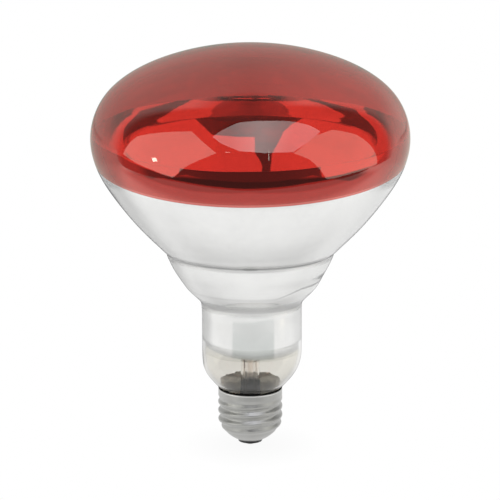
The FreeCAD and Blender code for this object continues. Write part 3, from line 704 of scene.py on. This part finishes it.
def cement_top(a):
    """The squeezed-out edge: higher and more jagged at the back."""
    back = max(0.0, math.sin(a))
    jag = (0.22 * math.sin(7 * a + 0.4) + 0.16 * math.sin(13 * a + 1.9)
           + 0.12 * math.sin(29 * a) + 0.10 * math.sin(47 * a + 0.8))
    return 24.75 + 1.15 * back ** 0.7 + jag * (0.35 + 0.65 * back)


def cement_warp(i, r, z, a):
    top = cement_top(a)
    if i < HUG_ROWS:
        share = max(0.0, (z - CEMENT_RISE_Z) / (CEMENT_TOP_Z - CEMENT_RISE_Z))
        z2 = z + share * (top - CEMENT_TOP_Z)
        return radius_at(hug, z2), z2
    if i == HUG_ROWS:
        rim = 12.35 if top < CEMENT_TOP_Z else max(CAP_RIM_R, radius_at(hug, top) + 0.16)
        return rim, top - 0.25
    return r, z


hug_heights = [CEMENT_LOW_Z + (CEMENT_TOP_Z - CEMENT_LOW_Z) * i / (HUG_ROWS - 1)
               for i in range(HUG_ROWS)]
bead = lathe("cement_bead", [(radius_at(hug, z), z) for z in hug_heights] + CEMENT_OUTER,
             [dulls["cement"]], cement_warp, segs=256)
hand_over(bead, "capping_cement")


# ------------------------------------------------------------------ stage pieces
def stage_mesh(name, verts, faces, mat, seen_by):
    """Seen only by the camera, by mirror and diffuse rays ("glossy") or through glass
    ("transmission")."""
    me = bpy.data.meshes.new(name)
    me.from_pydata([Vector(v) * MM for v in verts], [], faces)
    obj = bpy.data.objects.new(name, me)
    bpy.context.scene.collection.objects.link(obj)
    me.materials.append(mat)
    obj.visible_camera = seen_by == "camera"
    obj.visible_glossy = obj.visible_diffuse = seen_by == "glossy"
    obj.visible_transmission = seen_by == "transmission"
    if seen_by == "camera":
        obj.visible_shadow = False


def fan(points):
    """Vertices and triangles of an outline filled from its middle."""
    centre = tuple(np.mean(np.array(points, float), 0))
    n = len(points)
    return [centre] + list(points), [(0, 1 + k, 1 + (k + 1) % n) for k in range(n)]


def card(name, points, color, strength, seen_by, middle=None):
    """A light card; given a middle, it dims to either side of that x."""
    m = Mat(name)
    if middle is not None:
        off = m.abs(m.sub(m.xyz()[0], middle * MM))
        strength = m.mul(m.remap(off, (0.020, 0.190), to=(1.08, 0.70)), strength)
    stage_mesh(name, *fan(points), m.emission(color, strength), seen_by)


def direction(azimuth, elevation):
    a, e = math.radians(azimuth), math.radians(elevation)
    return Vector((math.sin(a) * math.cos(e), -math.cos(a) * math.cos(e), math.sin(e)))


def far(corners, distance=5000.0, steps=6, centre_z=110):
    """Card outline far away, from (azimuth, elevation) in degrees: azimuth 0 is towards the
    camera, + to the right."""
    out = []
    for k in range(len(corners)):
        v0, v1 = direction(*corners[k]), direction(*corners[(k + 1) % len(corners)])
        for q in range(steps):
            v = (v0 * (1 - q / steps) + v1 * q / steps).normalized() * distance
            out.append((v.x, v.y, v.z + centre_z))
    return out


# cards that reflections meet; points are x, y, z in mm
MIRRORED_CARDS = {
    "light_left": dict(color=(1.0, 1.0, 0.96), strength=1.18, points=[
        (-632, 77, 59), (-615, -21, 317), (-552, -142, 432), (-370, -309, 559),
        (-249, -585, 306), (-437, -489, 70), (-489, -325, -153), (-589, -191, -64)]),
    "light_right": dict(color=(1.0, 1.0, 0.95), strength=1.08, points=[
        (316, -555, 294), (420, -333, 494), (486, -182, 510), (591, -73, 373), (642, 37, 124),
        (604, 100, -51), (577, -145, -123), (478, -322, -172), (424, -503, 164)]),
    "light_top": dict(color=(0.98, 0.99, 1.08), strength=2.0, middle=60.0, points=[
        (-258, -441, 533), (-70, -266, 704), (18, -239, 718), (213, -205, 691),
        (337, -222, 626), (434, -262, 529), (423, -346, 481), (314, -549, 313),
        (105, -623, 323), (-88, -613, 356), (-210, -528, 457)]),
    "glint_left": dict(color=(1.0, 1.0, 0.95), strength=9.0, points=[
        (-401, -161, 113), (-392, -185, 124), (-387, -191, 92), (-395, -167, 80)]),
    "glint_line": dict(color=(1.0, 1.0, 1.0), strength=2.6, points=[
        (86.2, -395.6, 299.1), (90.0, -394.9, 298.8), (92.5, -430.7, 173.5),
        (88.6, -431.5, 173.8)]),
    "glint_dash": dict(color=(1.0, 1.0, 1.0), strength=2.0, points=[
        (-122.1, -402.0, 261.1), (-98.3, -407.8, 263.5), (-98.5, -411.0, 254.3),
        (-122.4, -405.1, 252.0)])}
# far cards seen through the glass: strength, (azimuth, elevation) corners
ROOM_CARDS = {
    "room_right": (1.40, [
        (42, 3), (50, -8), (52, -18), (56, -28), (66, -26), (78, -23), (96, -19), (105, -17),
        (113, -8), (120, 12), (118, 45), (90, 62), (60, 66), (33, 64), (32, 31), (36, 20)]),
    "room_top": (1.32, [
        (-4, 37), (32, 31), (33, 64), (20, 70), (-16, 70), (-16, 60), (-5, 54)]),
    "room_left": (1.36, [
        (-40, 3), (-32, 15), (-27, 27), (-26, 45), (-24, 54), (-27, 60), (-27, 66), (-50, 68),
        (-90, 62), (-118, 45), (-120, 12), (-112, -8), (-100, -12), (-92, -15), (-77, -20),
        (-59, -27), (-53, -20), (-50, -8)])}
for name, spec in MIRRORED_CARDS.items():
    card(name, seen_by="glossy", **spec)
for name, (strength, corners) in ROOM_CARDS.items():
    card(name, far(corners), (1.0, 0.97, 0.9), strength, seen_by="transmission")


# ------------------------------------------------------------------ table
def make_table(name, mirrored):
    """The white table as glass and metal see it: dimmer under the bulb, behind and far back."""
    m = Mat(name)
    x, y, z = m.xyz()
    radius = m.hypot(x, y)
    angle = m.azimuth(x, y)
    incoming = m.split(m.geometry("Incoming"))[2]      # 0 for a level ray, 1 from above
    # the bulb's own soft shade
    oval = m.oval(x, x_half=0.075, other=y, centre=0.020, half=0.045)
    light = m.scale_add(m.math("EXPONENT", m.mul(oval, -1.0)), -0.38, 0.95)
    # darker behind, most on the left
    side = m.ease(x, (-0.08, 0.08), to=(0.28, 0.10))
    light = m.sub(light, m.mul(m.ease(y, (0.02, 0.12)), side))
    light = m.mul(light, m.ease(y, (0.60, 1.40), to=(1.0, 0.62 if mirrored else 0.74)))
    # low rays see it dimmer far out, and greyer in a clean-edged patch in front
    low = m.ease(incoming, (0.30, 0.36), to=(1.0, 0.0))
    out = m.mul(m.ease(radius, (0.200, 0.230)), low)
    light = m.mul(light, m.scale_add(out, -0.13, 1.0))
    front = m.mul(m.ease(angle, (math.radians(-46), math.radians(-44))),
                  m.ease(angle, (math.radians(51), math.radians(53)), to=(1.0, 0.0)))
    ring = m.mul(m.ease(radius, (0.100, 0.150)), m.ease(radius, (0.190, 0.230), to=(1.0, 0.0)))
    dim = m.mul(m.mul(front, low), ring)
    light = m.mul(light, m.scale_add(dim, -0.24, 1.0))
    # its near edge falls away into the dark along a curved step
    off = m.abs(x)
    steep = m.ease(incoming, (0.36, 0.50))
    middle = m.ease(off, (0.28, 0.36), to=(1.0, 0.0))
    step = m.scale_add(off, 0.22, m.scale_add(m.mul(off, off), 1.0, -0.172))
    past = m.sub(y, step)
    # level before the step, rise at the step, where the slope behind it starts, its rise
    level, jump, slope_start, slope = ((0.40, 0.15, 0.030, 0.45) if mirrored
                                       else (0.62, 0.23, 0.050, 0.15))
    near = m.add(level, m.ease(past, (-0.004, 0.004), to=(0.0, jump)),
                 m.ease(past, (slope_start, 0.090), to=(0.0, slope)))
    where = [middle] if mirrored else [middle, steep]
    light = m.mul(light, m.sub(1.0, m.mul(*where, m.sub(1.0, near))))
    if not mirrored:
        curve = m.math("POWER", m.mul(off, 1 / 0.188), 3.2)
        rim = m.scale_add(curve, 0.030, -0.190)
        fall = m.mul(m.ease(m.sub(y, rim), (-0.006, 0.0), to=(1.0, 0.0)), steep)
        light = m.mul(light, m.scale_add(fall, -0.85, 1.0))
    return m.emission(m.mix(dim, (1.0, 1.0, 1.005), (0.965, 1.0, 0.995)), light)


# outlines (x, y) in mm, from the far left round the front to the far right
MIRRORED_EDGE = [
    (-1500, 1500), (-1500, 470), (-1094, 320), (-519, 129), (-390, 58), (-345, 10), (-310, -37),
    (-276, -78), (-249, -113), (-220, -138), (-185, -160), (-123, -181), (-59, -189), (60, -189),
    (123, -181), (180, -160), (222, -132), (270, -88), (330, -42), (395, 5), (425, 72),
    (505, 240), (1000, 560), (1500, 1500)]
THROUGH_EDGE = [
    (-1500, 1500), (-1500, 450), (-650, 180), (-380, 80), (-290, 0), (-240, -75), (-250, -260),
    (240, -260), (217, -64), (286, 8), (365, 90), (500, 220), (1000, 560), (1500, 1500)]
TABLE_Z, FLOOR_Z, FLOOR_HALF = -0.4, -0.5, 6000
for name, edge, seen_by in (("table_mirrored", MIRRORED_EDGE, "glossy"),
                            ("table_through_glass", THROUGH_EDGE, "transmission")):
    stage_mesh(name, *fan([(x, y, TABLE_Z) for x, y in edge]),
               make_table(name, mirrored=seen_by == "glossy"), seen_by)


# ------------------------------------------------------------------ floor
def make_floor():
    """White, with a painted contact shadow making it a little darker under the cap."""
    m = Mat("floor_pale")
    x, y, z = m.xyz()
    return m.emission((1, 1, 1), m.remap(m.hypot(x, y), (0.0, 0.03), to=(0.94, 1.0)))


stage_mesh("floor", [(x * FLOOR_HALF, y * FLOOR_HALF, FLOOR_Z)
                     for x, y in ((-1, -1), (1, -1), (1, 1), (-1, 1))],
           [(0, 1, 2, 3)], make_floor(), seen_by="camera")


# ------------------------------------------------------------------ world
def make_world():
    """White to the camera; to other rays a grey wall behind the lamp in a dark room."""
    world = bpy.data.worlds.new("studio")
    bpy.context.scene.world = world
    world.use_nodes = True
    w = Nodes(world.node_tree)
    x, y, z = w.split(w.node("TexCoord", output="Generated"))
    level_part = w.hypot(x, y)
    behind = w.div(y, w.max(level_part, 0.001))      # -1 towards the camera, 1 straight behind
    side = w.div(x, w.max(level_part, 0.001))        # -1 on the left, 1 on the right
    through = w.node("LightPath", output="Is Transmission Ray")
    behind = w.scale_add(through, 0.38, behind)      # the wall reaches further round in glass
    back = w.ease(w.scale_add(w.min(side, 0.0), -0.16, behind), (0.36, 0.62))
    high = w.ease(z, (0.90, 0.985))
    # the wall brightens to the sides, and low down on the right
    wall = w.scale_add(w.min(w.abs(side), 0.7), 0.20, 0.44)
    wall = w.add(wall, w.mul(w.ease(side, (0.2, 0.6), to=(0.0, 0.22)),
                             w.ease(z, (0.10, 0.45), to=(1.0, 0.0))))
    wall = w.mul(wall, w.scale_add(through, 0.12, 1.0))
    room = w.scale_add(through, w.ease(w.abs(side), (0.3, 0.9), to=(0.09, 0.17)), 0.08)
    level = w.add(w.mul(back, wall), w.mul(w.sub(1.0, back), room))
    level = w.add(w.mul(level, w.sub(1.0, high)), w.mul(high, 0.10))
    camera_ray = w.node("LightPath", output="Is Camera Ray")
    strength = w.add(w.mul(camera_ray, 1.0), w.mul(w.sub(1.0, camera_ray), level))
    w.make("OutputWorld", Surface=w.node("Background", Color=(1, 1, 1), Strength=strength))


make_world()

# ------------------------------------------------------------------ camera and render
cam = bpy.data.objects.new("camera", bpy.data.cameras.new("camera"))
bpy.context.scene.collection.objects.link(cam)
cam.location = (0, -1.0202, 0.3383)
cam.rotation_euler = (math.pi / 2 - 0.2467, 0, 0)
cam.data.sensor_width = 36
cam.data.lens = 188.7048
cam.data.shift_x = -0.0006
cam.data.clip_start, cam.data.clip_end = 0.05, 30
scene = bpy.context.scene
scene.camera = cam
scene.view_settings.view_transform = "Standard"
scene.view_settings.look = "None"
cycles = scene.cycles
cycles.max_bounces = cycles.transmission_bounces = cycles.transparent_max_bounces = 32
cycles.glossy_bounces = 24
cycles.diffuse_bounces = 4
cycles.caustics_reflective = cycles.caustics_refractive = True
cycles.blur_glossy = 0.3
cycles.sample_clamp_indirect = 6.0
cycles.use_denoising = True
